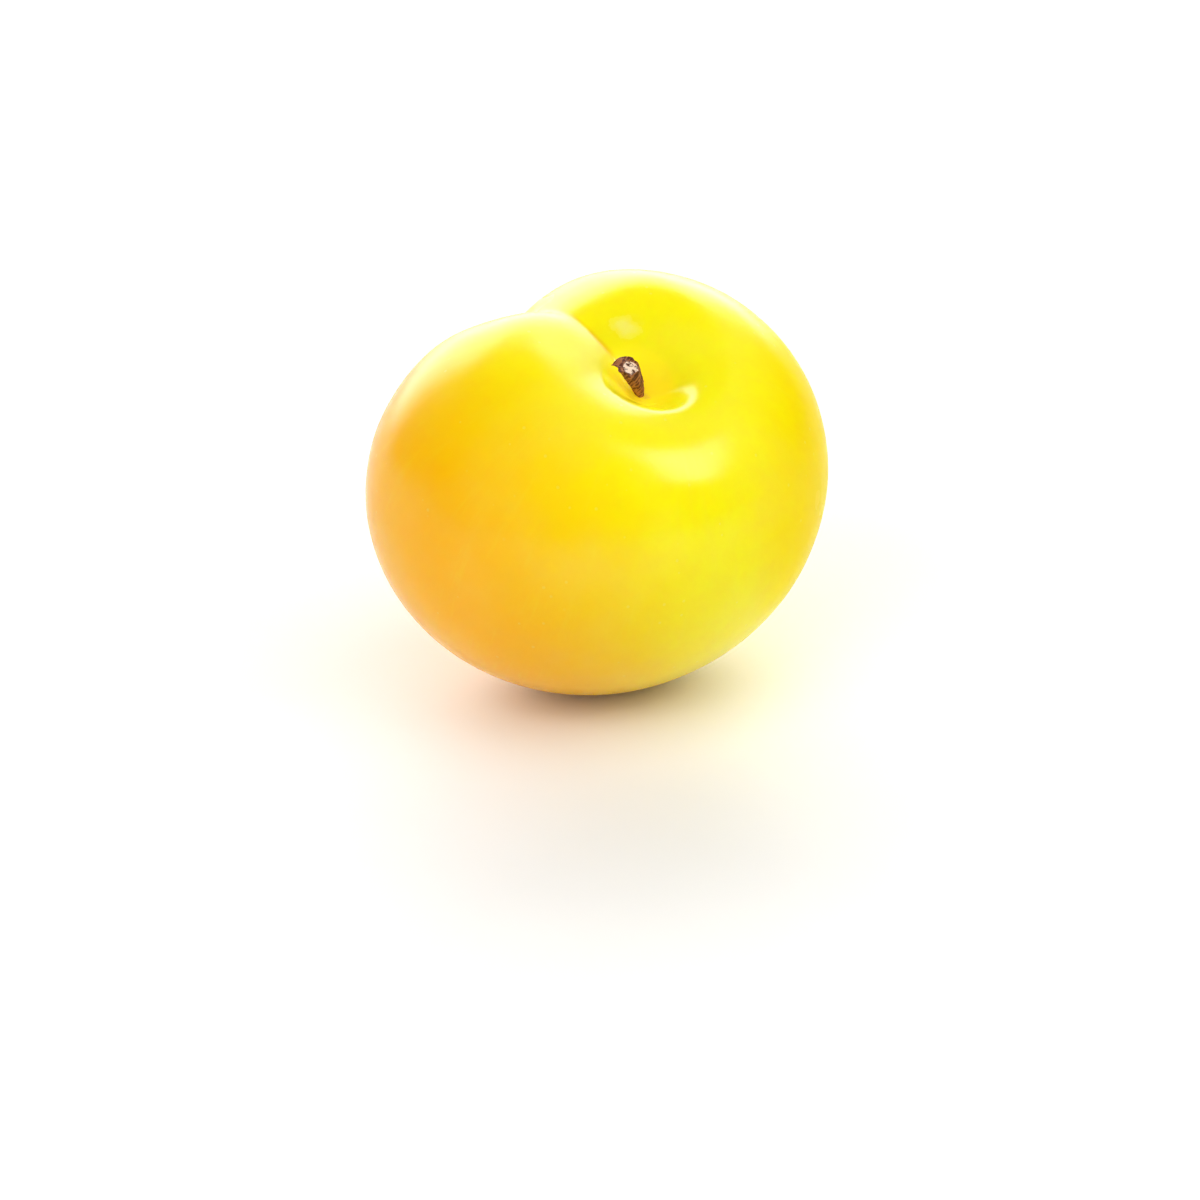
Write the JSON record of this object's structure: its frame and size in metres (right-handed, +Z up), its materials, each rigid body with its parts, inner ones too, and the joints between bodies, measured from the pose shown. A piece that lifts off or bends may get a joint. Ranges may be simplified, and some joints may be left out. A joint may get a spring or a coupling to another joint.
{
  "type": "plum",
  "caption": "Whole yellow plum with a suture groove, a stalk cavity and a short dry stalk stub, resting on a small flat spot.",
  "frame": {"origin": "on the flat spot that the plum rests on, straight under its centre of mass", "axes": "+Z up from the surface it rests on, the stalk end leaning toward -Y, +X across the two cheeks"},
  "size_m": [0.0573, 0.0493, 0.0473],
  "materials": {
    "skin": "waxy skin, softly glossy",
    "bark": "dry, ribbed"
  },
  "bodies": {
    "root": {"plum_fruit": "skin", "stalk_stub": "bark"}
  },
  "joints": []
}
